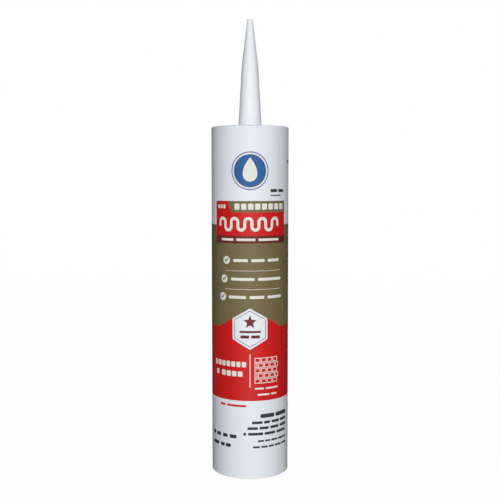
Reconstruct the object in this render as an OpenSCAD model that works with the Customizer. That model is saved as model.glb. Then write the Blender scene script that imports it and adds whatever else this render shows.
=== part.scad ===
// Caulk tube: a sealant cartridge for a caulking gun, with its nozzle moulded on the head.
// It stands on its open rear end. The origin is the centre of the rear rim, +Z runs along the
// axis to the nozzle's tip, and -Y is the printed front. All sizes are in millimetres.

/* [Barrel] */
// Outer diameter of the tube
barrel_d = 48.9; // [44:0.1:56]
// Wall thickness of the tube
barrel_wall = 1.15; // [0.9:0.05:1.6]
// Height from the rear rim to the front rim
body_h = 220; // [200:1:260]
// Lead-in bevel inside the open rear end, for the gun's ram
rear_bevel = 0.4; // [0.2:0.1:0.5]
// Rounding of the rear rim's outer edge
rear_round = 0.2; // [0.1:0.05:0.3]

/* [Head] */
// Height of the head's rim above the end of the tube that it is welded on
rim_h = 4; // [3:0.5:8]
// Radial width of the rim's flat top
rim_w = 2.4; // [1.6:0.1:4]
// Rounding of the rim's outer edge
rim_round = 1; // [0.4:0.1:1.4]
// Depth of the recessed disc below the rim
disc_drop = 3; // [2:0.5:4]
// Thickness of the recessed disc
disc_t = 2; // [1.5:0.1:3]
// Fillet between the rim and the disc, and at the foot of the boss
disc_fillet = 0.7; // [0.3:0.1:1]
// Depth of the plug skirt below the disc
skirt_h = 7; // [5:0.5:10]
// Wall thickness of the plug skirt
skirt_t = 1.2; // [0.9:0.1:1.6]
// Lead-in bevel at the end of the skirt
skirt_bevel = 0.6; // [0.2:0.1:0.8]
// Diameter of the boss round the foot of the nozzle
boss_d = 19; // [18:0.5:22]
// Height of the boss above the disc
boss_h = 2.2; // [1.5:0.1:2.8]
// Number of radial ribs between the boss and the rim
head_ribs = 12; // [6:1:16]
// Thickness of a radial rib
head_rib_t = 1.1; // [0.8:0.1:1.6]
// How far the ribs stay below the rim at their outer ends
head_rib_drop = 0.8; // [0.5:0.1:1.5]

/* [Nozzle] */
// Height of the nozzle's tip above the front rim
nozzle_h = 67; // [55:1:90]
// Height above the front rim at which the taper steepens
break_h = 37; // [25:1:45]
// Outer diameter level with the front rim
nozzle_base_d = 14.7; // [13:0.1:16]
// Outer diameter at the break in the taper
nozzle_break_d = 10.6; // [9:0.1:12]
// Outer diameter at the tip
nozzle_tip_d = 3.4; // [2.8:0.1:4.5]
// Wall thickness of the nozzle
nozzle_wall = 1.15; // [0.9:0.05:1.4]
// Length of the solid tip that the user cuts off
tip_solid_h = 5; // [3:0.5:8]
// Radius of the blend between the two tapers
break_blend_r = 60; // [20:5:100]
// Fillet where the nozzle meets the boss
nozzle_fillet = 1.8; // [0.8:0.1:2]
// Rounding of the tip
tip_round = 0.6; // [0.2:0.1:0.8]

/* [Seal] */
// Diameter of the foil that closes the nozzle's bore
seal_d = 17; // [15:0.5:20]
// Thickness of the foil
seal_t = 0.15; // [0.1:0.05:0.3]

/* [Piston] */
// Distance from the rear rim to the piston's rear edge
piston_inset = 15; // [8:1:40]
// Overall length of the piston
piston_len = 25; // [22:0.5:32]
// Radial clearance between the piston's lips and the bore
piston_clear = 0.05; // [0.03:0.01:0.08]
// Height of each of the two sealing lips
lip_h = 2.6; // [1.5:0.1:4]
// Depth of the relief between the lips
lip_relief = 0.8; // [0.4:0.1:1.2]
// Height of the piston's shoulder, where its crown starts
shoulder_h = 18.5; // [16:0.5:19]
// Radial gap between the crown and the head's skirt, at the end of the travel
crown_clear = 0.6; // [0.4:0.1:1]
// Rounding of the crown's front edge
crown_round = 2.2; // [1:0.1:3]
// Wall thickness of the piston
piston_wall = 1.5; // [1.2:0.1:1.8]
// Thickness of the crown's front wall
crown_t = 1.8; // [1.4:0.1:2.4]
// Number of ribs inside the crown
crown_ribs = 8; // [4:1:12]
// Thickness of a crown rib
crown_rib_t = 1.2; // [0.8:0.1:1.6]
// Depth of the crown ribs behind the front wall
crown_rib_h = 5.5; // [3:0.5:6]
// Outer diameter of the ring that joins the crown ribs
crown_ring_d = 14; // [10:0.5:18]

/* [Print] */
// Thickness of the printed ink
ink_t = 0.05; // [0.05:0.01:0.1]
// Bottom of the red field
red_bottom_z = 49.7; // [40:0.1:56]
// Height at which the olive and red fields meet at the sides and back
fields_meet_z = 95.4; // [88:0.1:96]
// Height of the point where they meet at the front
chevron_top_z = 107.8; // [104:0.1:110]
// Slope of the chevron's sides, in degrees
chevron_slope = 30; // [28:0.5:32]
// Distance from the front rim down to the top of the olive field
olive_below_rim = 60.9; // [58:0.1:64]
// Length round the tube from the front to the title block's left edge
title_left = 24.8; // [20:0.1:28]
// Length round the tube from the front to the title block's right edge
title_right = 25.6; // [20:0.1:28]
// Distance from the front rim down to the bottom of the title block
title_below_rim = 72.1; // [70:0.1:76]
// Height of the maroon strip along the block's bottom
title_foot_h = 4.6; // [3:0.1:6]
// Height of the red middle of the block
title_panel_h = 14.5; // [10:0.1:16]
// Height of the olive strip along the block's top
title_head_h = 6.9; // [4:0.1:9]
// Distance from the front rim down to the middle of the blue disc
roundel_below_rim = 27.7; // [22:0.1:32]
// Radius of the blue disc
roundel_r = 11.7; // [9:0.1:13]
// Radius of the six-sided bare badge, to its corners
badge_r = 12.9; // [10:0.1:13]
// Width of the bare strip at the back where the print starts and ends
print_gap = 1.2; // [0.6:0.1:4]

/* [Hidden] */

$fn = 96;
// steps of a small rounding, a blend and the drawn edge of a curved print field
round_steps = 6;
blend_steps = 8;
edge_steps = 8;
roundel_steps = 48;
// how far one shape runs into another that it joins or cuts
bite = 0.4;

barrel_r = barrel_d / 2;
bore_r = barrel_r - barrel_wall;
print_r = barrel_r + ink_t;

tube_top_z = body_h - rim_h;
head_disc_z = body_h - disc_drop;
head_under_z = head_disc_z - disc_t;
skirt_z = head_under_z - skirt_h;
skirt_in_r = bore_r - skirt_t;
rim_in_r = barrel_r - rim_w;
boss_r = boss_d / 2;
boss_z = head_disc_z + boss_h;

tip_z = body_h + nozzle_h;
break_z = body_h + break_h;
lower_slope = (nozzle_base_d - nozzle_break_d) / 2 / break_h;
upper_slope = (nozzle_break_d - nozzle_tip_d) / 2 / (nozzle_h - break_h);

piston_z = piston_inset;
piston_front_z = piston_z + piston_len;
shoulder_z = piston_z + shoulder_h;
lip_r = bore_r - piston_clear;
piston_body_r = lip_r - lip_relief;
cup_r = piston_body_r - piston_wall;
crown_r = skirt_in_r - crown_clear;
crown_in_r = crown_r - piston_wall;
crown_under_z = piston_front_z - crown_t;

roundel_z = body_h - roundel_below_rim;
olive_top_z = body_h - olive_below_rim;
title_bottom_z = body_h - title_below_rim;
title_panel_z = title_bottom_z + title_foot_h;
title_head_z = title_panel_z + title_panel_h;
chevron_half = (chevron_top_z - fields_meet_z) / tan(chevron_slope);
badge_z = chevron_top_z - badge_r;

// Outer radius of the nozzle at a height, on its lower or its upper taper
function lower_r(z) = nozzle_base_d / 2 - (z - body_h) * lower_slope;
function upper_r(z) = nozzle_tip_d / 2 + (tip_z - z) * upper_slope;

// Points of an arc round [r, z], from one angle to another
function arc(centre, radius, from, to, steps) = [
    for (i = [0:steps])
        let (a = from + (to - from) * i / steps)
            centre + radius * [cos(a), sin(a)]
];

// The blend between the two tapers is an arc that touches both
lower_lean = atan(lower_slope);
upper_lean = atan(upper_slope);
blend_half_h = break_blend_r * tan((upper_lean - lower_lean) / 2) * cos(lower_lean);
blend_start = [lower_r(break_z - blend_half_h), break_z - blend_half_h];
blend_centre = blend_start - break_blend_r * [cos(lower_lean), sin(lower_lean)];

// Outline of the piston's front, from the lip's edge in to the axis. The sealant lies against it.
function piston_front() = concat(
    [[lip_r, shoulder_z], [crown_r + bite, shoulder_z], [crown_r, shoulder_z + bite]],
    arc([crown_r - crown_round, piston_front_z - crown_round], crown_round, 0, 90, round_steps),
    [[0, piston_front_z]]
);

// Outline of the head's underside, from the bore in to the nozzle's bore
function skirt_outline() = [
    [bore_r, tube_top_z],
    [bore_r, skirt_z + skirt_bevel],
    [bore_r - skirt_bevel, skirt_z],
    [skirt_in_r, skirt_z],
    [skirt_in_r, head_under_z]
];

function reversed(points) = [for (i = [len(points) - 1:-1:0]) points[i]];

// A print outline is given in lengths round the tube from the front, and in heights.
// Each of its edges is drawn in short steps, so that it lies straight on the curved wall.
function wrap_x(length) = barrel_r * sin(length / barrel_r * 180 / PI);
function wrapped_edge(a, b, steps) = [
    for (i = [0:steps - 1])
        let (p = a + (b - a) * i / steps)
            [wrap_x(p.x), p.y]
];
function wrapped_outline(corners, steps) = [
    for (i = [0:len(corners) - 1])
        each wrapped_edge(corners[i], corners[(i + 1) % len(corners)], steps)
];

module barrel() {
    color([0.90, 0.91, 0.93])
        rotate_extrude()
            polygon(concat(
                [[bore_r, rear_bevel], [bore_r + rear_bevel, 0]],
                arc([barrel_r - rear_round, rear_round], rear_round, -90, 0, round_steps),
                [[barrel_r, tube_top_z], [bore_r, tube_top_z]]
            ));
}

// The head and the nozzle are one moulding: rim, recessed disc, plug skirt, boss and hollow spout
module head_shell() {
    rotate_extrude()
        polygon(concat(
            reversed(skirt_outline()),
            [[barrel_r, tube_top_z]],
            arc([barrel_r - rim_round, body_h - rim_round], rim_round, 0, 90, round_steps),
            arc([rim_in_r + disc_fillet, body_h - disc_fillet], disc_fillet, 90, 180, round_steps),
            arc([rim_in_r - disc_fillet, head_disc_z + disc_fillet], disc_fillet, 0, -90, round_steps),
            arc([boss_r + disc_fillet, head_disc_z + disc_fillet], disc_fillet, 270, 180, round_steps),
            arc([boss_r - disc_fillet, boss_z - disc_fillet], disc_fillet, 0, 90, round_steps),
            arc([lower_r(boss_z) + nozzle_fillet, boss_z + nozzle_fillet], nozzle_fillet,
                270, 180 + lower_lean, round_steps),
            arc(blend_centre, break_blend_r, lower_lean, upper_lean, blend_steps),
            arc([nozzle_tip_d / 2 - tip_round, tip_z - tip_round], tip_round,
                upper_lean, 90, round_steps),
            [
                [0, tip_z],
                [0, tip_z - tip_solid_h],
                [upper_r(tip_z - tip_solid_h) - nozzle_wall, tip_z - tip_solid_h],
                [lower_r(break_z) - nozzle_wall, break_z],
                [lower_r(head_under_z) - nozzle_wall, head_under_z]
            ]
        ));
}

module head_rib() {
    rotate([90, 0, 0])
        translate([0, 0, -head_rib_t / 2])
            linear_extrude(height = head_rib_t)
                polygon([
                    [boss_r - bite, head_disc_z - bite],
                    [rim_in_r + bite, head_disc_z - bite],
                    [rim_in_r + bite, body_h - head_rib_drop],
                    [boss_r - bite, boss_z - disc_fillet]
                ]);
}

module nozzle_head() {
    color([0.93, 0.94, 0.96])
        union() {
            head_shell();
            for (i = [0:head_ribs - 1])
                rotate([0, 0, (i + 0.5) * 360 / head_ribs])
                    head_rib();
        }
}

module foil_seal() {
    color([0.78, 0.79, 0.81])
        translate([0, 0, head_under_z - seal_t])
            cylinder(d = seal_d, h = seal_t);
}

// The charge fills the barrel from the piston's front to the head, round the skirt and the foil
module sealant() {
    color([0.96, 0.96, 0.95])
        rotate_extrude()
            polygon(concat(
                [[bore_r, shoulder_z]],
                piston_front(),
                [
                    [0, head_under_z - seal_t],
                    [seal_d / 2, head_under_z - seal_t],
                    [seal_d / 2, head_under_z],
                    [skirt_in_r, head_under_z],
                    [skirt_in_r, skirt_z],
                    [bore_r - skirt_bevel, skirt_z],
                    [bore_r, skirt_z + skirt_bevel]
                ]
            ));
}

// The piston is a cup that opens to the rear. Two lips bear on the bore, and the crown nests
// inside the head's skirt at the end of its travel.
module piston_shell() {
    front_lip_z = shoulder_z - lip_h;
    rear_lip_z = piston_z + lip_h;
    rotate_extrude()
        polygon(concat(
            [
                [cup_r, piston_z + rear_bevel],
                [cup_r + rear_bevel, piston_z],
                [lip_r - rear_bevel, piston_z],
                [lip_r, piston_z + rear_bevel],
                [lip_r, rear_lip_z],
                [piston_body_r, rear_lip_z + lip_relief],
                [piston_body_r, front_lip_z - lip_relief],
                [lip_r, front_lip_z]
            ],
            piston_front(),
            [
                [0, crown_under_z],
                [crown_in_r, crown_under_z],
                [crown_in_r, shoulder_z],
                [cup_r, shoulder_z - piston_wall]
            ]
        ));
}

module crown_rib() {
    translate([crown_ring_d / 2 - bite, -crown_rib_t / 2, crown_under_z - crown_rib_h])
        cube([crown_in_r - crown_ring_d / 2 + 2 * bite, crown_rib_t, crown_rib_h + bite]);
}

module piston() {
    color([0.84, 0.86, 0.88])
        union() {
            piston_shell();
            translate([0, 0, crown_under_z - crown_rib_h])
                difference() {
                    cylinder(d = crown_ring_d, h = crown_rib_h + bite);
                    translate([0, 0, -1])
                        cylinder(d = crown_ring_d - 2 * crown_rib_t, h = crown_rib_h + bite + 2);
                }
            for (i = [0:crown_ribs - 1])
                rotate([0, 0, i * 360 / crown_ribs])
                    crown_rib();
        }
}

// A band of ink all round the tube, between two heights
module ink_band(low_z, high_z) {
    translate([0, 0, low_z])
        difference() {
            cylinder(r = print_r, h = high_z - low_z);
            translate([0, 0, -1])
                cylinder(r = barrel_r, h = high_z - low_z + 2);
        }
}

// A straight prism that cuts an outline out of the front of an ink band
module front_prism(outline) {
    rotate([90, 0, 0])
        linear_extrude(height = print_r + 1)
            polygon(outline);
}

// A patch of ink on the front
module ink_patch(outline) {
    heights = [for (p = outline) p.y];
    intersection() {
        ink_band(min(heights), max(heights));
        front_prism(outline);
    }
}

module ink_block(low_z, high_z) {
    ink_patch(wrapped_outline([
        [-title_left, low_z], [title_right, low_z], [title_right, high_z], [-title_left, high_z]
    ], 1));
}

// The badge is bare. Its two upper edges are the chevron's, so its window runs on past them.
module badge_window() {
    side = badge_r * cos(30);
    corner_z = badge_z - badge_r / 2;
    front_prism(concat(
        wrapped_edge([-side, corner_z], [0, badge_z - badge_r], edge_steps),
        wrapped_edge([0, badge_z - badge_r], [side, corner_z], edge_steps),
        [[wrap_x(side), corner_z], [wrap_x(side), chevron_top_z + 1],
            [wrap_x(-side), chevron_top_z + 1]]
    ));
}

module chevron(low_z) {
    front_prism(concat(
        wrapped_edge([chevron_half, fields_meet_z], [0, chevron_top_z], edge_steps),
        wrapped_edge([0, chevron_top_z], [-chevron_half, fields_meet_z], edge_steps),
        [[wrap_x(-chevron_half), fields_meet_z], [wrap_x(-chevron_half), low_z],
            [wrap_x(chevron_half), low_z]]
    ));
}

module back_gap() {
    translate([-print_gap / 2, 0, red_bottom_z - 1])
        cube([print_gap, print_r + 1, olive_top_z - red_bottom_z + 2]);
}

module print_olive() {
    color([0.44, 0.41, 0.29])
        union() {
            difference() {
                ink_band(fields_meet_z, olive_top_z);
                chevron(fields_meet_z - 1);
                front_prism(wrapped_outline([
                    [-title_left, title_bottom_z], [title_right, title_bottom_z],
                    [title_right, olive_top_z + 1], [-title_left, olive_top_z + 1]
                ], 1));
                back_gap();
            }
            ink_block(title_head_z, title_head_z + title_head_h);
        }
}

module print_red() {
    color([0.78, 0.16, 0.15])
        union() {
            difference() {
                ink_band(red_bottom_z, chevron_top_z);
                difference() {
                    ink_band(fields_meet_z, chevron_top_z + 1);
                    chevron(fields_meet_z - 1);
                }
                badge_window();
                back_gap();
            }
            ink_block(title_panel_z, title_head_z);
        }
}

module print_maroon() {
    color([0.56, 0.16, 0.14])
        ink_block(title_bottom_z, title_panel_z);
}

module print_blue() {
    color([0.15, 0.35, 0.62])
        ink_patch([
            for (i = [0:roundel_steps - 1])
                let (a = i * 360 / roundel_steps)
                    [wrap_x(roundel_r * cos(a)), roundel_z + roundel_r * sin(a)]
        ]);
}

barrel();
nozzle_head();
foil_seal();
sealant();
piston();
print_olive();
print_red();
print_maroon();
print_blue();
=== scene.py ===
"""Caulk tube: the finished pieces of a sealant cartridge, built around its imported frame."""
import math
from itertools import cycle

import bmesh
import bpy
from bpy.props import FloatProperty, FloatVectorProperty, IntProperty, PointerProperty
from mathutils import Matrix, Vector


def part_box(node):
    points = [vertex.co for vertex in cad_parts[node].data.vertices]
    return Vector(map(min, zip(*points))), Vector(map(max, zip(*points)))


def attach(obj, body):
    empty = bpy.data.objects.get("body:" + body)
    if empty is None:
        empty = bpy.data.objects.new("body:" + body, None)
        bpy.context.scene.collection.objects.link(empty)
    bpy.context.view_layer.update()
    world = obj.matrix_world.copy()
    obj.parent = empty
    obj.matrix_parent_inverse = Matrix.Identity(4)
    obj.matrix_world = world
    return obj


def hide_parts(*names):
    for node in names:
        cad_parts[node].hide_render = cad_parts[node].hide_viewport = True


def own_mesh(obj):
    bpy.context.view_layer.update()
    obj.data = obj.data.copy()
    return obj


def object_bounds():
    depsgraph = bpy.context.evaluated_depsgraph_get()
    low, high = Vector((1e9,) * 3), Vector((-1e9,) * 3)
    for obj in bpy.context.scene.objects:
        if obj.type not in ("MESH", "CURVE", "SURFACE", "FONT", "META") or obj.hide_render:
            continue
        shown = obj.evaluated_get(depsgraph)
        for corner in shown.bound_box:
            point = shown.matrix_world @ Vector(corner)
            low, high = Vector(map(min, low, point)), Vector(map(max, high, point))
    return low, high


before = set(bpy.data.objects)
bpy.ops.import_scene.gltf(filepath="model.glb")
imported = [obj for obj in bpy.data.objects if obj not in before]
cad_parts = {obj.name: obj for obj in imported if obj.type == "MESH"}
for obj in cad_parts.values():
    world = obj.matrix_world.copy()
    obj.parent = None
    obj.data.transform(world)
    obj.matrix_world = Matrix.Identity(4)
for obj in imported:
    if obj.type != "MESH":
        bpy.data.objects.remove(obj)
cad_low, cad_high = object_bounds()

bl_info = {
    "name": "Caulk tube",
    "version": (1, 0, 0),
    "blender": (4, 5, 0),
    "location": "3D View > Sidebar > Caulk tube",
    "description": "Builds the finished pieces of a sealant cartridge around its packed frame",
    "category": "Object",
}

MM = 0.001
# Every round piece has its edges on the same meridians, so that print lies flat on the barrel
TURN_STEPS = 240
ROUNDEL_STEPS = 96
ROUND_SEGMENTS = 6
SHARP_ANGLE = math.radians(32)
# How far one shape runs into another that it joins
BITE = 0.3 * MM
# Corners of a drawing that lie closer than this become one
NEAR = 0.012 * MM
# A bar's corners give up this share of its height, and no more than this length
BAR_ROUNDING = 0.3
BAR_ROUNDING_LIMIT = 0.7 * MM
# Middles of the bullets on the olive field: length from the front and height above the chevron, in mm
BULLETS = ((-15.5, 29.6), (-17.2, 18.0), (-18.4, 6.8))
# Lengths of the bars in a block of fine lines, in mm
WORDS = (5.2, 3.1, 7.4, 4.3, 2.2, 6.1, 3.7)
KEY_PLACE = Vector((0.10, -2.6, 0.32))
FILL_PLACE = Vector((0.25, 1.6, 1.5))
BACK_PLACE = Vector((-0.10, 2.6, 0.32))

barrel_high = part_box("barrel")[1]
head_low, head_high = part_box("nozzle_head")
foil_low, foil_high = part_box("foil_seal")
charge_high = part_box("sealant")[1]
piston_low, piston_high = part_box("piston")
olive_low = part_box("print_olive")[0]
red_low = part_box("print_red")[0]
maroon_low, maroon_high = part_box("print_maroon")
blue_low, blue_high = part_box("print_blue")
roundel = (blue_low.z + blue_high.z) / 2
roundel_radius = (blue_high.z - blue_low.z) / 2


# Settings that a user may change

def length(name, description, default):
    return FloatProperty(name=name, description=description, default=default, unit="LENGTH", precision=5)


def angle(name, description, default):
    return FloatProperty(name=name, description=description, default=math.radians(default), unit="ROTATION")


def count(name, description, default):
    return IntProperty(name=name, description=description, default=default, min=1)


def share(name, description, default):
    return FloatProperty(name=name, description=description, default=default, min=0, max=1, subtype="FACTOR")


def power(name, description, default):
    return FloatProperty(name=name, description=description, default=default, min=0, unit="POWER")


def colour(name, description, default):
    return FloatVectorProperty(
        name=name, description=description, default=default, size=3, min=0, max=1, subtype="COLOR"
    )


class BarrelSettings(bpy.types.PropertyGroup):
    """Sizes and finish of the barrel."""

    radius: length("Radius", "Outer radius of the barrel", barrel_high.x)
    bore: length("Bore", "Radius of the bore", charge_high.x)
    end: length("Front end", "Height of the end that the head is welded on", barrel_high.z)
    lead_in: length("Lead-in", "Bevel inside the open rear end", 0.4 * MM)
    edge: length("Edge", "Rounding of the rear rim's outer edge", 0.2 * MM)
    groove: length("Weld groove", "Bevel of the barrel's and the head's edges at their weld", 0.06 * MM)
    plastic: colour("Plastic", "Colour of the barrel's and the head's plastic", (0.80, 0.83, 0.90))
    roughness: share("Roughness", "Roughness of the barrel's plastic", 0.6)


class HeadSettings(bpy.types.PropertyGroup):
    """Sizes and finish of the head and its nozzle."""

    rim: length("Rim", "Height of the front rim", barrel_high.z + 4 * MM)
    rim_width: length("Rim width", "Radial width of the rim", 2.4 * MM)
    rim_round: length("Rim rounding", "Rounding of the rim's outer edge", 1 * MM)
    disc_drop: length("Disc depth", "Depth of the recessed disc below the rim", 3 * MM)
    underside: length("Underside", "Height of the disc's underside", foil_high.z)
    fillet: length("Fillet", "Fillet at the rim's and the boss's foot", 0.7 * MM)
    skirt_wall: length("Skirt wall", "Thickness of the plug skirt", 1.2 * MM)
    skirt_bevel: length("Skirt bevel", "Lead-in at the end of the skirt", 0.6 * MM)
    boss_radius: length("Boss radius", "Radius of the boss round the nozzle's foot", 9.5 * MM)
    boss_height: length("Boss height", "Height of the boss above the disc", 2.2 * MM)
    ribs: count("Ribs", "Number of radial ribs on the disc", 12)
    rib_width: length("Rib width", "Thickness of a radial rib", 1.1 * MM)
    rib_drop: length("Rib drop", "How far the ribs stay below the rim", 0.8 * MM)
    rib_edge: length("Rib edge", "Rounding of the ribs' upper edges", 0.25 * MM)
    base_radius: length("Nozzle base", "Radius of the nozzle level with the rim", 7.35 * MM)
    break_rise: length("Taper break", "Height above the rim where the taper steepens", 37 * MM)
    break_radius: length("Break radius", "Radius of the nozzle at the break", 5.3 * MM)
    break_blend: length("Break blend", "Length of the blend on each side of the break", 1.92 * MM)
    tip_radius: length("Tip radius", "Radius of the nozzle's tip", 1.7 * MM)
    tip_round: length("Tip rounding", "Rounding of the nozzle's tip", 0.53 * MM)
    tip_solid: length("Solid tip", "Length of the closed tip", 5 * MM)
    foot_fillet: length("Foot fillet", "Fillet where the nozzle meets its boss", 1.7 * MM)
    wall: length("Nozzle wall", "Thickness of the nozzle's wall", 1.15 * MM)
    # The nozzle's paler colour is painted light: the glow of light that shines through its thin wall
    plastic: colour("Plastic", "Colour of the nozzle, whose thin wall looks paler", (0.87, 0.90, 0.95))
    roughness: share("Roughness", "Roughness of the head's plastic", 0.57)


class PistonSettings(bpy.types.PropertyGroup):
    """Sizes and finish of the piston, and of the charge that it pushes."""

    lip_radius: length("Lip radius", "Radius of the two lips", piston_high.x)
    lip_height: length("Lip height", "Height of each lip", 2.6 * MM)
    relief: length("Relief", "Depth of the relief between the lips", 0.8 * MM)
    shoulder: length("Shoulder", "Height of the shoulder above the piston's rear edge", 18.5 * MM)
    crown_radius: length("Crown radius", "Radius of the crown", 21.5 * MM)
    crown_round: length("Crown rounding", "Rounding of the crown's front edge", 2.2 * MM)
    crown_wall: length("Crown thickness", "Thickness of the crown's front", 1.8 * MM)
    wall: length("Wall", "Thickness of the piston's side wall", 1.5 * MM)
    edge: length("Edge", "Bevel of the rear edges", 0.4 * MM)
    ring_radius: length("Ring radius", "Outer radius of the ring inside the crown", 7 * MM)
    rib_width: length("Rib width", "Thickness of the ring and of the ribs", 1.2 * MM)
    rib_depth: length("Rib depth", "Depth of the ribs behind the crown", 5.5 * MM)
    ribs: count("Ribs", "Number of ribs inside the crown", 8)
    plastic: colour("Plastic", "Colour of the piston's natural plastic", (0.66, 0.70, 0.73))
    paste: colour("Sealant", "Colour of the sealant", (0.80, 0.80, 0.78))
    foil: colour("Foil", "Colour of the seal's foil", (0.74, 0.75, 0.77))
    rest_share: share("Charge left", "Share of the charge's length left at the end of the travel", 0.005)


class PrintSettings(bpy.types.PropertyGroup):
    """Sizes and inks of the print."""

    radius: length("Radius", "Radius of the surface that the ink lies on", barrel_high.x)
    thickness: length("Thickness", "Thickness of the ink", 0.05 * MM)
    overprint: length("Overprint", "Height of the marks' surface above the plastic", 0.064 * MM)
    mark_thickness: length("Mark thickness", "Thickness of the small marks", 0.03 * MM)
    fields_meet: length("Fields meet", "Height where the two fields meet at the sides", olive_low.z)
    chevron_top: length("Chevron top", "Height where the two fields meet in front", red_low.z + 58.1 * MM)
    chevron_slope: angle("Chevron slope", "Slope of the chevron's sides", 30)
    badge_radius: length("Badge radius", "Radius of the bare badge, to its corners", 12.9 * MM)
    title_left: length("Title left", "Length from the front to the title block's left edge", 24.8 * MM)
    title_right: length("Title right", "Length from the front to the title block's right edge", 25.6 * MM)
    title_panel: length("Title panel", "Height of the red panel in the title block", 14.5 * MM)
    title_head: length("Title head", "Height of the olive strip on the title block", 6.9 * MM)
    olive_top: length("Olive top", "Height of the olive field's top at the sides", maroon_low.z + 11.2 * MM)
    back_gap: length("Gap at the back", "Width of the bare strip where the print starts and ends", 1.2 * MM)
    olive: colour("Olive", "Colour of the olive ink", (0.177, 0.142, 0.062))
    red: colour("Red", "Colour of the red ink", (0.610, 0.009, 0.008))
    maroon: colour("Maroon", "Colour of the maroon ink", (0.150, 0.020, 0.017))
    blue: colour("Blue", "Colour of the blue ink", (0.022, 0.112, 0.315))
    pale: colour("Pale", "Colour of the pale ink", (0.78, 0.77, 0.72))
    dark: colour("Dark", "Colour of the dark ink", (0.040, 0.042, 0.060))
    roughness: share("Roughness", "Roughness of the ink", 0.6)


class StageSettings(bpy.types.PropertyGroup):
    """The floor, the light and the camera."""

    floor_size: length("Floor", "Width of the floor", 8.0)
    floor_glow: share("Floor whiteness", "Share of plain white in what the camera sees of the floor", 0.97)
    floor_pale: share("Floor, seen", "Colour of the floor where the camera sees it", 0.85)
    floor_dim: share("Floor, as light", "Colour of the floor where it lights the tube", 0.15)
    white: share("White", "Brightness of the white surroundings", 1.0)
    key_power: power("Key", "Power of the large frontal light", 64.0)
    key_width: length("Key width", "Width of the large frontal light", 1.4)
    key_height: length("Key height", "Height of the large frontal light", 0.6)
    fill_power: power("Fill", "Power of the light above and behind the tube", 20.0)
    fill_size: length("Fill size", "Width and height of the light above and behind the tube", 1.0)
    back_power: power("Back", "Power of the light that faces the back of the tube", 20.0)
    ambient: share("Ambient", "Brightness of the surroundings as light, on all sides", 0.02)
    ambient_behind: share("Ambient behind", "What is added to it behind the tube", 0.55)
    ambient_above: share("Ambient above", "What is added to it above the tube", 0.1)
    camera_distance: length("Camera distance", "Distance of the camera in front of the axis", 0.5514)
    camera_height: length("Camera height", "Height of the camera", 0.1886)
    camera_tilt: angle("Camera tilt", "How far the camera looks down", 4.84)
    camera_lens: FloatProperty(name="Lens", description="Focal length", default=62.17, unit="CAMERA")


SETTINGS = {
    "tube_barrel": BarrelSettings,
    "tube_head": HeadSettings,
    "tube_piston": PistonSettings,
    "tube_print": PrintSettings,
    "tube_stage": StageSettings,
}


# Shader nodes

class Value:
    """A number on a shader socket. Plain arithmetic on it adds Math nodes."""

    def __init__(self, nodes, socket):
        self.nodes = nodes
        self.socket = socket

    def __add__(self, other):
        return self.nodes.maths("ADD", self, other)

    def __radd__(self, other):
        return self.nodes.maths("ADD", other, self)

    def __rsub__(self, other):
        return self.nodes.maths("SUBTRACT", other, self)

    def __mul__(self, other):
        return self.nodes.maths("MULTIPLY", self, other)

    def __rmul__(self, other):
        return self.nodes.maths("MULTIPLY", other, self)


class Nodes:
    """A node tree that starts empty."""

    def __init__(self, tree):
        self.tree = tree
        self.tree.nodes.clear()

    def add(self, kind, settings=None, inputs=None, output=0):
        """Adds a node: its settings first, then the values or links of its sockets. Gives one output."""
        node = self.tree.nodes.new(kind)
        for name, value in (settings or {}).items():
            setattr(node, name, value)
        for name, value in (inputs or {}).items():
            if isinstance(value, Value):
                self.tree.links.new(value.socket, node.inputs[name])
            else:
                node.inputs[name].default_value = value
        return Value(self, node.outputs[output]) if node.outputs else None

    def maths(self, operation, first, second):
        return self.add("ShaderNodeMath", {"operation": operation}, {0: first, 1: second})

    def blend(self, amount, first, second):
        """A colour between two others, which are three numbers or come from other nodes."""
        ends = [shade if isinstance(shade, Value) else (*shade, 1) for shade in (first, second)]
        inputs = {"Factor": amount, 6: ends[0], 7: ends[1]}
        return self.add("ShaderNodeMix", {"data_type": "RGBA"}, inputs, output=2)

    def tint(self, amount, shade, low, high):
        """A colour that wavers between two strengths of a shade."""
        return self.blend(amount, scaled(shade, low), scaled(shade, high))

    def ramp(self, amount, low, high):
        """A smooth step from 0 at low to 1 at high."""
        return self.add(
            "ShaderNodeMapRange", {"interpolation_type": "SMOOTHSTEP"},
            {"Value": amount, "From Min": low, "From Max": high}
        )

    def noise(self, place, scale, detail, stretch=None):
        """Noise on the object's own coordinates. Stretch scales them along each axis first."""
        if stretch:
            place = self.add("ShaderNodeMapping", {}, {"Vector": place, "Scale": stretch})
        return self.add("ShaderNodeTexNoise", {}, {"Vector": place, "Scale": scale, "Detail": detail})

    def draw_marks(self, place):
        """The fine streaks that extrusion leaves along the barrel."""
        return self.noise(place, 1.0, 3.0, stretch=(900.0, 900.0, 9.0))

    def along(self, way, axis):
        return self.add("ShaderNodeSeparateXYZ", {}, {0: way}, output=axis)

    def bump(self, height, distance):
        return self.add("ShaderNodeBump", {}, {"Height": height, "Distance": distance, "Strength": 1.0})


def scaled(shade, factor):
    return tuple(min(1.0, part * factor) for part in shade)


def new_material(name):
    material = bpy.data.materials.new(name)
    material.use_nodes = True
    nodes = Nodes(material.node_tree)
    return material, nodes, nodes.add("ShaderNodeTexCoord", output="Object")


def close_material(nodes, inputs):
    shader = nodes.add("ShaderNodeBsdfPrincipled", {}, inputs)
    nodes.add("ShaderNodeOutputMaterial", {}, {"Surface": shader})


def milky(weight, depth):
    """Light that scatters inside a plastic or a paste, down to a depth."""
    return {"Subsurface Weight": weight, "Subsurface Radius": (1.0, 1.0, 1.0), "Subsurface Scale": depth}


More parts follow.
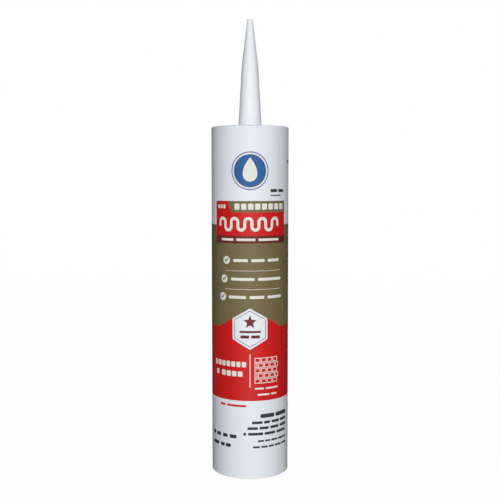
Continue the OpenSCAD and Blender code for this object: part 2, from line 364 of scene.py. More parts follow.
def barrel_plastic(settings):
    """Extruded plastic: satin, with faint streaks along the tube and a slight orange peel."""
    material, nodes, place = new_material("barrel plastic")
    clouds = nodes.noise(place, 38.0, 3.0)
    streaks = nodes.draw_marks(place)
    peel = nodes.noise(place, 520.0, 1.0)
    close_material(nodes, {
        "Base Color": nodes.tint(clouds, settings.plastic, 0.975, 1.02),
        "Roughness": settings.roughness - 0.06 + 0.08 * clouds + 0.06 * streaks,
        "Normal": nodes.bump(0.6 * streaks + 0.4 * peel, 0.012 * MM),
        "Specular IOR Level": 0.35,
        **milky(0.12, 1.2 * MM),
    })
    return material


def head_plastic(settings, barrel_shade):
    """Moulded plastic: smoother than the barrel, with faint flow marks. Up the nozzle the colour turns paler,
    as painted light that shines through the thin wall.
    """
    material, nodes, place = new_material("head plastic")
    clouds = nodes.noise(place, 38.0, 3.0)
    flow = nodes.noise(place, 1.0, 2.0, stretch=(260.0, 260.0, 40.0))
    peel = nodes.noise(place, 700.0, 1.0)
    height = nodes.along(place, "Z")
    foot = nodes.tint(clouds, barrel_shade, 0.975, 1.02)
    # Painted light: up the nozzle the colour turns paler, standing in for light that shines through the thin
    # wall
    thin = nodes.tint(clouds, settings.plastic, 0.98, 1.02)
    close_material(nodes, {
        "Base Color": nodes.blend(nodes.ramp(height, settings.rim, settings.rim + 15 * MM), foot, thin),
        "Roughness": settings.roughness - 0.05 + 0.06 * flow + 0.04 * clouds,
        "Normal": nodes.bump(0.6 * flow + 0.4 * peel, 0.01 * MM),
        "Specular IOR Level": 0.35,
        **milky(0.18, 1.5 * MM),
    })
    return material


def piston_plastic(settings):
    """Natural plastic without pigment: milky and a little waxy."""
    material, nodes, place = new_material("piston plastic")
    clouds = nodes.noise(place, 70.0, 4.0)
    grain = nodes.noise(place, 900.0, 2.0)
    close_material(nodes, {
        "Base Color": nodes.tint(clouds, settings.plastic, 0.95, 1.04),
        "Roughness": 0.4 + 0.12 * clouds,
        "Normal": nodes.bump(0.5 * clouds + 0.5 * grain, 0.02 * MM),
        **milky(0.35, 2.0 * MM),
    })
    return material


def sealant_paste(settings):
    """White paste: wet, smooth and soft."""
    material, nodes, place = new_material("sealant paste")
    smears = nodes.noise(place, 90.0, 3.0, stretch=(1.0, 1.0, 0.3))
    close_material(nodes, {
        "Base Color": nodes.tint(smears, settings.paste, 0.97, 1.02),
        "Roughness": 0.16 + 0.14 * smears,
        "Normal": nodes.bump(smears, 0.15 * MM),
        **milky(0.3, 2.5 * MM),
    })
    return material


def seal_foil(settings):
    """Thin foil, pressed slightly uneven where it is sealed on."""
    material, nodes, place = new_material("seal foil")
    creases = nodes.noise(place, 260.0, 4.0)
    close_material(nodes, {
        "Base Color": nodes.tint(creases, settings.foil, 0.94, 1.03),
        "Metallic": 1.0,
        "Roughness": 0.24 + 0.16 * creases,
        "Normal": nodes.bump(creases, 0.06 * MM),
    })
    return material


def ink(name, shade, roughness):
    """Printed ink: satin, with the slight mottle of a thin printed layer over the barrel's streaks."""
    material, nodes, place = new_material(name)
    mottle = nodes.noise(place, 420.0, 4.0)
    clouds = nodes.noise(place, 45.0, 2.0)
    streaks = nodes.draw_marks(place)
    close_material(nodes, {
        "Base Color": nodes.tint(0.5 * mottle + 0.5 * clouds, shade, 0.93, 1.07),
        "Roughness": roughness - 0.06 + 0.08 * mottle + 0.06 * streaks,
        "Normal": nodes.bump(0.6 * streaks + 0.4 * mottle, 0.01 * MM),
        "Specular IOR Level": 0.28,
    })
    return material


# Meshes

def only(items, kind):
    return [item for item in items if isinstance(item, kind)]


def whole(mesh):
    return mesh.verts[:] + mesh.edges[:] + mesh.faces[:]


def thicken(mesh, depth):
    """Extrudes all the faces of a flat mesh along y."""
    grown = bmesh.ops.extrude_face_region(mesh, geom=mesh.faces[:])["geom"]
    bmesh.ops.translate(mesh, verts=only(grown, bmesh.types.BMVert), vec=(0, depth, 0))


def face_outward(mesh):
    bmesh.ops.recalc_face_normals(mesh, faces=mesh.faces[:])


def new_object(name, data):
    made = bpy.data.objects.new(name, data)
    bpy.context.scene.collection.objects.link(made)
    return made


def round_corners(mesh, verts, rounding, segments=ROUND_SEGMENTS):
    """Rounds corners of a flat outline. The rounding is the length that each corner gives up."""
    bmesh.ops.bevel(
        mesh, geom=verts, offset=rounding, offset_type="OFFSET", segments=segments, profile=0.5,
        affect="VERTICES", material=-1
    )


def turned(section):
    """A closed skin: a section of (radius, height, rounding) corners, spun round the tube's axis."""
    mesh = bmesh.new()
    corners = [mesh.verts.new((radius, 0, height)) for radius, height, _ in section]
    mesh.faces.new(corners)
    for rounding in sorted({corner[2] for corner in section} - {0}):
        alike = [vert for vert, corner in zip(corners, section) if corner[2] == rounding]
        round_corners(mesh, alike, rounding)
    bmesh.ops.delete(mesh, geom=mesh.faces[:], context="FACES_ONLY")
    on_axis = [edge for edge in mesh.edges if all(vert.co.x < 1e-9 for vert in edge.verts)]
    bmesh.ops.delete(mesh, geom=on_axis, context="EDGES")
    bmesh.ops.spin(
        mesh, geom=whole(mesh), cent=(0, 0, 0), axis=(0, 0, 1), angle=math.tau,
        steps=TURN_STEPS, use_merge=True
    )
    bmesh.ops.remove_doubles(mesh, verts=mesh.verts[:], dist=1e-7)
    face_outward(mesh)
    return mesh


def add_ribs(mesh, outline, width, number, first_turn, edge):
    """Adds radial ribs. The outline is one rib's side, as (radius, height) corners, its free edge last."""
    ribs = bmesh.new()
    ribs.faces.new([ribs.verts.new((radius, -width / 2, height)) for radius, height in outline])
    thicken(ribs, width)
    free_heights = {round(height, 7) for _, height in outline[-2:]}
    free = []
    for line in ribs.edges:
        ends = [vert.co for vert in line.verts]
        if {round(end.z, 7) for end in ends} == free_heights and ends[0].x != ends[1].x:
            free.append(line)
    bmesh.ops.bevel(
        ribs, geom=free, offset=edge, offset_type="OFFSET", segments=3, profile=0.5,
        affect="EDGES", material=-1
    )
    turn = Matrix.Rotation(first_turn, 3, "Z")
    bmesh.ops.rotate(ribs, cent=(0, 0, 0), matrix=turn, verts=ribs.verts[:])
    bmesh.ops.spin(
        ribs, geom=whole(ribs), cent=(0, 0, 0), axis=(0, 0, 1),
        angle=math.tau * (number - 1) / number, steps=number - 1, use_duplicate=True
    )
    face_outward(ribs)
    data = bpy.data.meshes.new("ribs")
    ribs.to_mesh(data)
    ribs.free()
    mesh.from_mesh(data)
    bpy.data.meshes.remove(data)


def place_piece(name, mesh, material, body, slot, *nodes):
    """Makes a finished mesh an object that rides on a body and stands for CAD nodes."""
    for face in mesh.faces:
        face.smooth = True
    data = bpy.data.meshes.new(name)
    mesh.to_mesh(data)
    mesh.free()
    data.set_sharp_from_angle(angle=SHARP_ANGLE)
    data.materials.append(material)
    piece = new_object(name, data)
    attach(piece, body)
    if nodes:
        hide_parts(*nodes)
    return piece


# Print is drawn flat: x is the length round the tube from the front, z is the height

def rectangle(left, right, bottom, top):
    return [(left, bottom), (right, bottom), (right, top), (left, top)]


def draw_field(mesh, outline, windows=()):
    """Draws an outline with bare windows in it."""
    edges = []
    for loop in (outline, *windows):
        corners = [mesh.verts.new((across, 0, up)) for across, up in loop]
        for start, end in zip(corners, corners[1:] + corners[:1]):
            edges.append(mesh.edges.new((start, end)))
    bmesh.ops.triangle_fill(mesh, use_beauty=False, use_dissolve=False, edges=edges, normal=(0, -1, 0))


def draw_shape(mesh, outline, rounding=0.0):
    """Draws a plain shape, with all of its corners rounded where a rounding is given."""
    corners = [mesh.verts.new((across, 0, up)) for across, up in outline]
    mesh.faces.new(corners)
    if rounding:
        round_corners(mesh, corners, rounding, 3 if rounding < 0.5 * MM else ROUND_SEGMENTS)


def draw_bars(mesh, anchor, rows):
    """Draws rows of plain bars, where the real print has words. Each row is (height of its middle above
    the anchor, height of its bars, (left, right) of each bar), in millimetres."""
    for up, height, spans in rows:
        low = anchor + (up - height / 2) * MM
        rounding = min(BAR_ROUNDING * height * MM, BAR_ROUNDING_LIMIT)
        for left, right in spans:
            draw_shape(mesh, rectangle(left * MM, right * MM, low, low + height * MM), rounding)


def blocks(left, right, number, gap=0.95):
    """Spans of equal blocks in a row, where the real print has a large word."""
    pitch = (right - left + gap) / number
    return [(left + place * pitch, left + (place + 1) * pitch - gap) for place in range(number)]


def draw_lines(mesh, left, right, top, lines, pitch, height):
    """Draws a block of fine lines in millimetres, with bars as long as words. A block of five lines
    or more has one bolder bar on top."""
    words = cycle(WORDS)
    heading = lines >= 5
    if heading:
        draw_bars(mesh, 0, [(top, 2 * height, ((left, left + 0.55 * (right - left)),))])
    word = next(words)
    for line in range(heading, lines):
        spans = []
        start = left
        while start + word <= right:
            spans.append((start, start + word))
            start += word + 0.8 * height
            word = next(words)
        draw_bars(mesh, 0, [(top - line * pitch, height, spans)])


def regular(across, up, radius, corners):
    """Corners of a regular polygon. The first one is straight up."""
    turns = [math.tau * number / corners for number in range(corners)]
    return [(across + radius * math.sin(turn), up + radius * math.cos(turn)) for turn in turns]


def draw_circle(mesh, across, up, radius, segments=48):
    """Draws a disc and gives its corners."""
    matrix = Matrix.Translation((across, 0, up)) @ Matrix.Rotation(math.pi / 2, 4, "X")
    disc = bmesh.ops.create_circle(mesh, cap_ends=True, segments=segments, radius=radius, matrix=matrix)
    return disc["verts"]


def draw_star(mesh, across, up, radius, waist=0.45):
    """Draws a five-pointed star with one point up. The waist is its inner radius, as a share."""
    middle = Vector((across, 0, up))
    for vert in draw_circle(mesh, across, up, radius, 10):
        arm = vert.co - middle
        if round(math.atan2(arm.x, arm.z) / math.radians(36)) % 2:
            vert.co = middle + waist * arm


def draw_bead(mesh, left, bottom, top, stroke, bends):
    """Draws a bead of sealant as one band that runs up and down in round bends."""
    # A little more than the stroke, so that the runs stand clear of each other
    bend = 1.18 * stroke
    heights = (bottom + bend + stroke / 2, top - bend - stroke / 2)
    start = [mesh.verts.new((side, 0, heights[0])) for side in (left, left + stroke)]
    end = [*start, mesh.edges.new(start)]
    middle = left + stroke / 2
    for number in range(bends + 1):
        here, there = heights[number % 2], heights[(number + 1) % 2]
        end = bmesh.ops.extrude_edge_only(mesh, edges=only(end, bmesh.types.BMEdge))["geom"]
        verts = only(end, bmesh.types.BMVert)
        bmesh.ops.translate(mesh, verts=verts, vec=(0, 0, there - here))
        if number == bends:
            break
        end = bmesh.ops.spin(
            mesh, geom=verts + only(end, bmesh.types.BMEdge), cent=(middle + bend, 0, there), axis=(0, 1, 0),
            angle=math.copysign(math.pi, there - here), steps=16, use_merge=False
        )["geom_last"]
        middle += 2 * bend
    round_corners(mesh, [*start, *verts], 0.49 * stroke)


def wrap_round(mesh, settings, surface, depth):
    """Cuts a flat drawing at the meridians, gives it its thickness and lays it round the tube."""
    step = math.tau * settings.radius / TURN_STEPS
    lengths = [vert.co.x for vert in mesh.verts]
    for number in range(math.ceil(min(lengths) / step), math.floor(max(lengths) / step) + 1):
        bmesh.ops.bisect_plane(
            mesh, geom=whole(mesh), dist=1e-8, plane_co=(number * step, 0, 0), plane_no=(1, 0, 0)
        )
    # A corner close to a meridian joins it, as a very short edge would spoil the shading
    bmesh.ops.remove_doubles(mesh, verts=mesh.verts[:], dist=NEAR)
    bmesh.ops.translate(mesh, verts=mesh.verts[:], vec=(0, depth - surface, 0))
    face_outward(mesh)
    thicken(mesh, -depth)
    for vert in mesh.verts:
        # Between two meridians the ink is flat, as the barrel's own faces are
        strip = round(vert.co.x / step, 6)
        part = strip % 1
        start, end = [math.tau * (math.floor(strip) + side) / TURN_STEPS for side in (0, 1)]
        reach = settings.radius - vert.co.y
        across = (1 - part) * math.sin(start) + part * math.sin(end)
        ahead = (1 - part) * math.cos(start) + part * math.cos(end)
        vert.co = (reach * across, -reach * ahead, vert.co.z)
    face_outward(mesh)


# Operators, one for each piece or group of like pieces

class TUBE_OT_barrel(bpy.types.Operator):
    """Build the barrel, open at its rear end"""

    bl_idname = "caulk_tube.barrel"
    bl_label = "Barrel"

    def execute(self, context):
        s = context.scene.tube_barrel
        mesh = turned([
            (s.bore, s.lead_in, 0),
            (s.bore + s.lead_in, 0, 0),
            (s.radius, 0, s.edge),
            (s.radius, s.end, s.groove),
            (s.bore, s.end, 0),
        ])
        place_piece("barrel_tube", mesh, barrel_plastic(s), "tube", "barrel_plastic", "barrel")
        return {"FINISHED"}


class TUBE_OT_head(bpy.types.Operator):
    """Build the head and the nozzle, which are one moulding"""

    bl_idname = "caulk_tube.head"
    bl_label = "Head and nozzle"

    def execute(self, context):
        s = context.scene.tube_head
        barrel = context.scene.tube_barrel
        disc = s.rim - s.disc_drop
        boss = disc + s.boss_height
        rim_inside = barrel.radius - s.rim_width
        taper = (s.base_radius - s.break_radius) / s.break_rise
        break_height = s.rim + s.break_rise
        tip = head_high.z
        upper_taper = (s.break_radius - s.tip_radius) / (tip - break_height)
        skirt_inside = barrel.bore - s.skirt_wall
        mesh = turned([
            (skirt_inside, s.underside, 0),
            (skirt_inside, head_low.z, 0),
            (barrel.bore - s.skirt_bevel, head_low.z, 0),
            (barrel.bore, head_low.z + s.skirt_bevel, 0),
            (barrel.bore, barrel.end, 0),
            (barrel.radius, barrel.end, barrel.groove),
            (barrel.radius, s.rim, s.rim_round),
            (rim_inside, s.rim, s.fillet),
            (rim_inside, disc, s.fillet),
            (s.boss_radius, disc, s.fillet),
            (s.boss_radius, boss, s.fillet),
            (s.base_radius - (boss - s.rim) * taper, boss, s.foot_fillet),
            (s.break_radius, break_height, s.break_blend),
            (s.tip_radius, tip, s.tip_round),
            (0, tip, 0),
            (0, tip - s.tip_solid, 0),
            (s.tip_radius + s.tip_solid * upper_taper - s.wall, tip - s.tip_solid, 0),
            (s.break_radius - s.wall, break_height, 0),
            (s.base_radius + (s.rim - s.underside) * taper - s.wall, s.underside, 0),
        ])
        add_ribs(
            mesh,
            [
                (s.boss_radius - BITE, disc - BITE),
                (rim_inside + BITE, disc - BITE),
                (rim_inside + BITE, s.rim - s.rib_drop),
                (s.boss_radius - BITE, boss - s.fillet),
            ],
            s.rib_width, s.ribs, math.pi / s.ribs, s.rib_edge
        )
        plastic = head_plastic(s, barrel.plastic)
        place_piece("nozzle_and_head", mesh, plastic, "tube", "nozzle_plastic", "nozzle_head")
        return {"FINISHED"}


class TUBE_OT_foil(bpy.types.Operator):
    """Build the foil that closes the nozzle's bore"""

    bl_idname = "caulk_tube.foil"
    bl_label = "Seal foil"

    def execute(self, context):
        edge = 0.03 * MM
        mesh = turned([
            (0, foil_low.z, 0),
            (foil_high.x, foil_low.z, edge),
            (foil_high.x, foil_high.z, 0),
            (0, foil_high.z, 0),
        ])
        foil = seal_foil(context.scene.tube_piston)
        place_piece("nozzle_foil", mesh, foil, "tube", "seal_foil", "foil_seal")
        return {"FINISHED"}


class TUBE_OT_charge(bpy.types.Operator):
    """Build the charge of sealant between the piston and the head"""

    bl_idname = "caulk_tube.charge"
    bl_label = "Sealant"

    def execute(self, context):
        s = context.scene.tube_piston
        barrel = context.scene.tube_barrel
        head = context.scene.tube_head
        shoulder = piston_low.z + s.shoulder
        skirt_inside = barrel.bore - head.skirt_wall
        mesh = turned([
            (barrel.bore, shoulder, 0),
            (s.crown_radius, shoulder, 0),
            (s.crown_radius, piston_high.z, s.crown_round),
            (0, piston_high.z, 0),
            (0, foil_low.z, 0),
            (foil_high.x, foil_low.z, 0),
            (foil_high.x, head.underside, 0),
            (skirt_inside, head.underside, 0),
            (skirt_inside, head_low.z, 0),
            (barrel.bore - head.skirt_bevel, head_low.z, 0),
            (barrel.bore, head_low.z + head.skirt_bevel, 0),
        ])
        piece = place_piece("sealant_charge", mesh, sealant_paste(s), "tube", "sealant_paste", "sealant")
        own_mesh(piece)
        return {"FINISHED"}


class TUBE_OT_piston(bpy.types.Operator):
    """Build the piston, a cup that opens to the rear"""

    bl_idname = "caulk_tube.piston"
    bl_label = "Piston"

    def execute(self, context):
        s = context.scene.tube_piston
        rear, front = piston_low.z, piston_high.z
        shoulder = rear + s.shoulder
        body = s.lip_radius - s.relief
        cup = body - s.wall
        crown_inside = s.crown_radius - s.wall
        under = front - s.crown_wall
        foot = under - s.rib_depth
        ring_inside = s.ring_radius - s.rib_width
        small = 0.3 * MM
        mesh = turned([
            (cup, rear, s.edge),
            (s.lip_radius, rear, s.edge),
            (s.lip_radius, rear + s.lip_height, small),
            (body, rear + s.lip_height + s.relief, small),
            (body, shoulder - s.lip_height - s.relief, small),
            (s.lip_radius, shoulder - s.lip_height, small),
            (s.lip_radius, shoulder, small),
            (s.crown_radius, shoulder, s.edge),
            (s.crown_radius, front, s.crown_round),
            (0, front, 0),
            (0, under, 0),
            (ring_inside, under, s.edge),
            (ring_inside, foot, small),
            (s.ring_radius, foot, small),
            (s.ring_radius, under, s.edge),
            (crown_inside, under, 1.0 * MM),
            (crown_inside, shoulder, s.edge),
            (cup, shoulder - s.wall, s.edge),
        ])
        add_ribs(
            mesh,
            [
                (s.ring_radius - BITE, under + BITE),
                (crown_inside + BITE, under + BITE),
                (crown_inside + BITE, foot),
                (s.ring_radius - BITE, foot),
            ],
            s.rib_width, s.ribs, 0, 0.2 * MM
        )
        place_piece("piston_cup", mesh, piston_plastic(s), "piston", "piston_plastic", "piston")
        return {"FINISHED"}


class TUBE_OT_fields(bpy.types.Operator):
    """Print the fields of colour: olive, red, maroon and blue"""

    bl_idname = "caulk_tube.fields"
    bl_label = "Fields of colour"

    def execute(self, context):
        s = context.scene.tube_print
        end = math.pi * s.radius - s.back_gap / 2
        left, right = -s.title_left, s.title_right
        foot = maroon_low.z
        panel = maroon_high.z
        head = panel + s.title_panel
        half = (s.chevron_top - s.fields_meet) / math.tan(s.chevron_slope)
        chevron = [(-half, s.fields_meet), (0, s.chevron_top), (half, s.fields_meet)]
        side = s.badge_radius * math.cos(math.radians(30))
        badge = s.chevron_top - s.badge_radius
        low_corner = badge - s.badge_radius / 2
        high_corner = badge + s.badge_radius / 2

        olive = bmesh.new()
        draw_field(olive, [
            (-end, s.fields_meet), *chevron, (end, s.fields_meet), (end, s.olive_top), (right, s.olive_top),
            (right, foot), (left, foot), (left, s.olive_top), (-end, s.olive_top),
        ])
        draw_field(olive, rectangle(left, right, head, head + s.title_head))
        red = bmesh.new()
        draw_field(red, [
            (-end, red_low.z), (end, red_low.z), (end, s.fields_meet), (half, s.fields_meet),
            (side, high_corner), (side, low_corner), (0, badge - s.badge_radius), (-side, low_corner),
            (-side, high_corner), (-half, s.fields_meet), (-end, s.fields_meet),
        ])
        draw_field(red, rectangle(left, right, panel, head))
        maroon = bmesh.new()
        draw_field(maroon, rectangle(left, right, foot, panel))
        blue = bmesh.new()
        draw_circle(blue, 0, roundel, roundel_radius, ROUNDEL_STEPS)
        for name, mesh in (("olive", olive), ("red", red), ("maroon", maroon), ("blue", blue)):
            wrap_round(mesh, s, s.thickness, s.thickness)
            material = ink(name + " ink", getattr(s, name), s.roughness)
            place_piece(name + "_print", mesh, material, "tube", name + "_ink", "print_" + name)
        return {"FINISHED"}


class TUBE_OT_pale_marks(bpy.types.Operator):
    """Print the pale marks: a droplet, a bead of sealant, bullets, bars, rules and tiles"""

    bl_idname = "caulk_tube.pale_marks"
    bl_label = "Pale marks"

    def execute(self, context):
        s = context.scene.tube_print
        mesh = bmesh.new()
        self.droplet(mesh)
        # A bead of sealant in the title block, between bars
        low = maroon_high.z + 2.7 * MM
        draw_bead(mesh, left=-21.6 * MM, bottom=low, top=low + 9 * MM, stroke=1.85 * MM, bends=9)
        draw_bars(mesh, maroon_high.z, (
            (18.0, 3.8, blocks(-9.8, 23.6, 8)),
            (-2.3, 1.5, ((-19.4, -10.4), (-8.6, 3.4), (5.2, 19.6))),
        ))
        # Three rows with bullets on the olive field, and a rule between each two
        draw_bars(mesh, s.chevron_top, (
            (29.6, 1.8, ((-10.6, -1.3), (0.8, 9.1), (11.2, 19.8))),
            (18.0, 1.8, ((-12.2, 2.8), (5.0, 21.6))),
            (6.8, 1.8, ((-13.8, -2.4), (-0.2, 9.0), (11.2, 22.2))),
        ))
        for across, up in BULLETS:
            draw_circle(mesh, across * MM, s.chevron_top + up * MM, 2.5 * MM)
        rule = 0.24 * MM
        for up in (23.2, 11.7):
            low = s.chevron_top + up * MM - rule / 2
            draw_shape(mesh, rectangle(-16.2 * MM, 20.9 * MM, low, low + rule))
        # A dividing line on the red field, with bars on its left and tiles on its right
        draw_shape(mesh, rectangle(-0.25 * MM, 0.3 * MM, red_low.z + 8.6 * MM, red_low.z + 29.5 * MM))
        draw_bars(mesh, red_low.z, (
            (22.9, 3.4, blocks(-26.2, -2.4, 7, 0.8)),
            (16.9, 3.4, [(-24.8, -22.2), *blocks(-19.6, -4.6, 4, 0.8)]),
            (7.7, 1.1, ((3.0, 8.8), (10.0, 19.4))),
            (3.8, 1.1, ((4.8, 12.6), (13.8, 18.2))),
        ))
        self.tiles(mesh)
        # Fine lines at the sides and the back
        for number in range(5):
            draw_lines(mesh, 33.2, 66, s.olive_top / MM - 4.5 - 9.2 * number, 2, 2.7, 1.3)
        draw_lines(mesh, -68, -37, s.olive_top / MM - 6, 16, 2.9, 1.2)
        draw_lines(mesh, 34, 66, s.fields_meet / MM - 6, 5, 2.9, 1.2)
        draw_lines(mesh, -66, -37, s.fields_meet / MM - 6, 12, 2.9, 1.2)
        # Blocks on the red that overprints the olive strip lie one layer higher
        upper = bmesh.new()
        draw_bars(upper, maroon_high.z, ((18.0, 2.6, blocks(-22.8, -16.2, 3, 0.7)),))
        pale = ink("pale ink", s.pale, s.roughness)
        for name, marks, rise in (
            ("pale_marks", mesh, s.overprint), ("upper_pale_marks", upper, 2 * s.overprint - s.thickness)
        ):
            wrap_round(marks, s, rise, s.mark_thickness)
            place_piece(name, marks, pale, "tube", "pale_ink")
        return {"FINISHED"}

    def droplet(self, mesh):
        """A droplet in a ring, on the blue disc."""
        # Shares of the disc's radius: the droplet's size and lift, and the ring's two edges
        wide, high, lift = 0.5, 0.63, 0.07
        ring = (0.95, 0.86)
        for vert in draw_circle(mesh, 0, 0, roundel_radius):
            # A circle that narrows towards its top
            narrow = abs(math.sin(math.atan2(vert.co.x, vert.co.z) / 2))
            up = roundel + lift * roundel_radius + high * vert.co.z
            vert.co = (wide * narrow * vert.co.x, 0, up)
        outer, inner = [regular(0, roundel, part * roundel_radius, ROUNDEL_STEPS) for part in ring]
        draw_field(mesh, outer, [inner])

    def tiles(self, mesh):
        """Outlines of wall tiles in a running bond."""
        wide, high, line, joint = 4.0 * MM, 3.3 * MM, 0.44 * MM, 0.35 * MM
        left, right = 2.9 * MM, 19.9 * MM
        for row in range(5):
            low = red_low.z + 11.0 * MM + row * high
            top = low + high - joint
            start = left - (row % 2) * wide / 2
            while start + wide / 2 < right:
                near, far = max(start, left), min(start + wide, right) - joint
                window = rectangle(near + line, far - line, low + line, top - line)
                draw_field(mesh, rectangle(near, far, low, top), [window])
                start += wide


class TUBE_OT_coloured_marks(bpy.types.Operator):
    """Print the olive, red, maroon and dark marks"""

    bl_idname = "caulk_tube.coloured_marks"
    bl_label = "Coloured marks"

    def execute(self, context):
        s = context.scene.tube_print
        # Ticks on the pale bullets
        olive = bmesh.new()
        for across, up in BULLETS:
            left, low = across - 0.4, up + s.chevron_top / MM - 1.1
            outline = ((0, 0), (1.9, 2.2), (1.35, 2.65), (-0.05, 1.0), (-0.75, 1.65), (-1.25, 1.1))
            draw_shape(olive, [((left + right) * MM, (low + rise) * MM) for right, rise in outline])
        draw_bars(olive, barrel_high.z, ((-17.8, 2.0, ((30.4, 33.6),)),))
        # The red panel reaches up into the olive strip on its left
        red = bmesh.new()
        low = maroon_high.z + s.title_panel
        high = low + s.title_head
        draw_shape(red, [(-s.title_left, low), (-12.2 * MM, low), (-14.6 * MM, high), (-s.title_left, high)])
        draw_bars(red, red_low.z, ((-3.3, 1.3, ((-21.0, -16.6), (-15.4, -2.4))),))
        # A star and bars in a thin frame on the badge
        maroon = bmesh.new()
        badge = s.chevron_top - s.badge_radius
        draw_star(maroon, 0, badge + 4.3 * MM, 4.3 * MM)
        draw_bars(maroon, badge, ((-1.8, 1.3, ((-6.6, 6.8),)), (-4.9, 1.9, ((-6.0, -0.5), (0.7, 6.2)))))
        draw_field(maroon, regular(0, badge, 11.5 * MM, 6), [regular(0, badge, 11.15 * MM, 6)])
        dark = bmesh.new()
        draw_bars(dark, roundel, (
            (-12.1, 1.9, ((13.2, 18.4), (19.4, 24.4))),
            (-15.0, 0.7, ((13.2, 21.6),)),
        ))
        draw_bars(dark, red_low.z, (
            (-9.8, 2.5, ((6.6, 16.4), (17.6, 28.2))),
            (-13.9, 1.7, ((1.2, 8.0), (9.0, 13.2), (14.4, 20.6), (21.6, 28.4))),
            (-17.5, 1.7, ((-1.6, 5.0), (6.0, 12.2), (13.4, 20.2), (21.4, 28.4))),
            (-21.1, 1.7, ((-4.2, -2.4), (-1.2, 8.4), (9.4, 17.2), (18.4, 27.2))),
            (-25.7, 1.2, ((5.0, 9.0), (9.7, 13.4), (14.2, 19.0), (19.8, 28.0))),
            (-29.5, 1.2, ((1.8, 6.4), (7.2, 11.4), (12.2, 16.2), (17.0, 22.4), (23.2, 28.4))),
            (-23.1, 2.2, ((-29.8, -26.2), (-24.8, -20.6), (-18.8, -15.0), (-13.4, -8.6))),
            (-29.2, 2.2, ((-29.8, -22.6), (-20.8, -17.4), (-16.4, -12.6))),
        ))
        # Fine lines at the sides and the back
        upper, lower = barrel_high.z / MM - 14, red_low.z / MM - 8
        for left, right, top, number in (
            (39, 69, upper, 13), (-68, -39, upper, 13), (37, 66, lower, 9), (-66, -37, lower, 9)
        ):
            draw_lines(dark, left, right, top, number, 2.9, 1.1)
        for name, mesh in (("olive", olive), ("red", red), ("maroon", maroon), ("dark", dark)):
            # Ticks lie on bullets, so they are one layer higher
            rise = 2 * s.overprint - s.thickness if mesh is olive else s.overprint
            wrap_round(mesh, s, rise, s.mark_thickness)
            material = ink(name + " marks", getattr(s, name), s.roughness)
            place_piece(name + "_marks", mesh, material, "tube", name + "_ink")
        return {"FINISHED"}


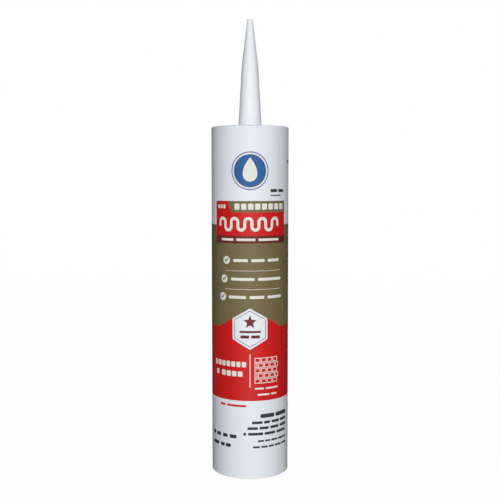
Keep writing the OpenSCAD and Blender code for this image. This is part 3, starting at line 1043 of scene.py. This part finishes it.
class TUBE_OT_stage(bpy.types.Operator):
    """Set the floor, the surroundings, the light and the camera"""

    bl_idname = "caulk_tube.stage"
    bl_label = "Stage"

    def execute(self, context):
        s = context.scene.tube_stage
        scene = context.scene
        scene.view_settings.view_transform = "Standard"
        self.lay_floor(s)
        self.light_surroundings(s)

        self.hang_lamp("key", s.key_power, s.key_width, s.key_height, KEY_PLACE)
        self.hang_lamp("fill", s.fill_power, s.fill_size, s.fill_size, FILL_PLACE)
        back = self.hang_lamp("back", s.back_power, s.key_width, s.key_height, BACK_PLACE)
        # Its glare would show along the tube's edges from the front
        back.visible_glossy = False

        lens = bpy.data.cameras.new("camera")
        lens.lens = s.camera_lens
        camera = new_object("camera", lens)
        camera.location = (0, -s.camera_distance, s.camera_height)
        camera.rotation_euler = (math.pi / 2 - s.camera_tilt, 0, 0)
        scene.camera = camera
        return {"FINISHED"}

    def hang_lamp(self, name, energy, width, height, place):
        """A flat lamp that faces the middle of the tube."""
        lamp = bpy.data.lights.new(name, "AREA")
        lamp.energy = energy
        lamp.shape = "RECTANGLE"
        lamp.size = width
        lamp.size_y = height
        holder = new_object(name, lamp)
        holder.location = place
        holder.rotation_euler = (place - Vector((0, 0, cad_high.z / 2))).to_track_quat("Z", "Y").to_euler()
        return holder

    def lay_floor(self, settings):
        """A pale floor. The camera sees it near white, and it keeps the tube's shadow."""
        mesh = bmesh.new()
        bmesh.ops.create_grid(mesh, x_segments=1, y_segments=1, size=settings.floor_size / 2)
        bmesh.ops.translate(mesh, verts=mesh.verts[:], vec=(0, 0, -0.02 * MM))
        data = bpy.data.meshes.new("floor")
        mesh.to_mesh(data)
        mesh.free()
        floor = new_object("floor", data)
        material = bpy.data.materials.new("floor")
        material.use_nodes = True
        nodes = Nodes(material.node_tree)
        place = nodes.add("ShaderNodeTexCoord", output="Object")
        distance = nodes.add("ShaderNodeVectorMath", {"operation": "LENGTH"}, {0: place}, output="Value")
        seen = self.seen(nodes, nodes.add("ShaderNodeVectorMath", {"operation": "NORMALIZE"}, {0: place}))
        dim, pale = (settings.floor_dim,) * 3, (settings.floor_pale,) * 3
        matt = nodes.add("ShaderNodeBsdfDiffuse", {}, {"Color": nodes.blend(seen, dim, pale)})
        white = nodes.add("ShaderNodeEmission", {}, {"Color": (1, 1, 1, 1), "Strength": settings.white})
        # The floor fades into the backdrop, so that no horizon shows
        fade = nodes.ramp(distance, 0.25, 1.6)
        glow = settings.floor_glow + (1 - settings.floor_glow) * fade
        surface = nodes.add("ShaderNodeMixShader", {}, {"Fac": glow * seen, 1: matt, 2: white})
        nodes.add("ShaderNodeOutputMaterial", {}, {"Surface": surface})
        data.materials.append(material)

    def light_surroundings(self, settings):
        """White where the camera looks past the tube. As light they are dim, and brighter behind the tube."""
        world = bpy.data.worlds.new("surroundings")
        world.use_nodes = True
        bpy.context.scene.world = world
        nodes = Nodes(world.node_tree)
        way = nodes.add("ShaderNodeTexCoord", output="Generated")
        behind = nodes.maths("MAXIMUM", nodes.along(way, "Y"), 0.0)
        above = nodes.maths("MAXIMUM", nodes.along(way, "Z"), 0.0)
        matt = nodes.add("ShaderNodeLightPath", output="Is Diffuse Ray")
        light = settings.ambient + matt * (settings.ambient_behind * behind + settings.ambient_above * above)
        seen = self.seen(nodes, way)
        strength = settings.white * seen + (1 - seen) * light
        background = nodes.add("ShaderNodeBackground", {}, {"Color": (1, 1, 1, 1), "Strength": strength})
        nodes.add("ShaderNodeOutputWorld", {}, {"Surface": background})

    def seen(self, nodes, way):
        """1 where the camera looks, or a reflection meets the backdrop behind the tube. 0 on other rays."""
        camera = nodes.add("ShaderNodeLightPath", output="Is Camera Ray")
        glossy = nodes.add("ShaderNodeLightPath", output="Is Glossy Ray")
        through = nodes.add("ShaderNodeLightPath", output="Is Transmission Ray")
        backdrop = nodes.ramp(nodes.along(way, "Y"), 0.88, 0.98)
        return nodes.maths("MAXIMUM", nodes.maths("MAXIMUM", camera, glossy * backdrop), through)


PIECES = (
    TUBE_OT_barrel, TUBE_OT_head, TUBE_OT_foil, TUBE_OT_charge, TUBE_OT_piston, TUBE_OT_fields,
    TUBE_OT_pale_marks, TUBE_OT_coloured_marks, TUBE_OT_stage,
)


class TUBE_PT_panel(bpy.types.Panel):
    """The caulk tube's settings and pieces"""

    bl_idname = "TUBE_PT_panel"
    bl_label = "Caulk tube"
    bl_space_type = "VIEW_3D"
    bl_region_type = "UI"
    bl_category = "Caulk tube"

    def draw(self, context):
        for name, group in SETTINGS.items():
            box = self.layout.box()
            for setting in group.__annotations__:
                box.prop(getattr(context.scene, name), setting)
        for operator in PIECES:
            self.layout.operator(operator.bl_idname)


def register():
    for part in (*SETTINGS.values(), *PIECES, TUBE_PT_panel):
        bpy.utils.register_class(part)
    for name, group in SETTINGS.items():
        setattr(bpy.types.Scene, name, PointerProperty(type=group))


def unregister():
    for name in SETTINGS:
        delattr(bpy.types.Scene, name)
    for part in reversed((*SETTINGS.values(), *PIECES, TUBE_PT_panel)):
        bpy.utils.unregister_class(part)


def main():
    register()
    for operator in PIECES:
        group, name = operator.bl_idname.split(".")
        getattr(getattr(bpy.ops, group), name)()


if __name__ == "__main__":
    main()
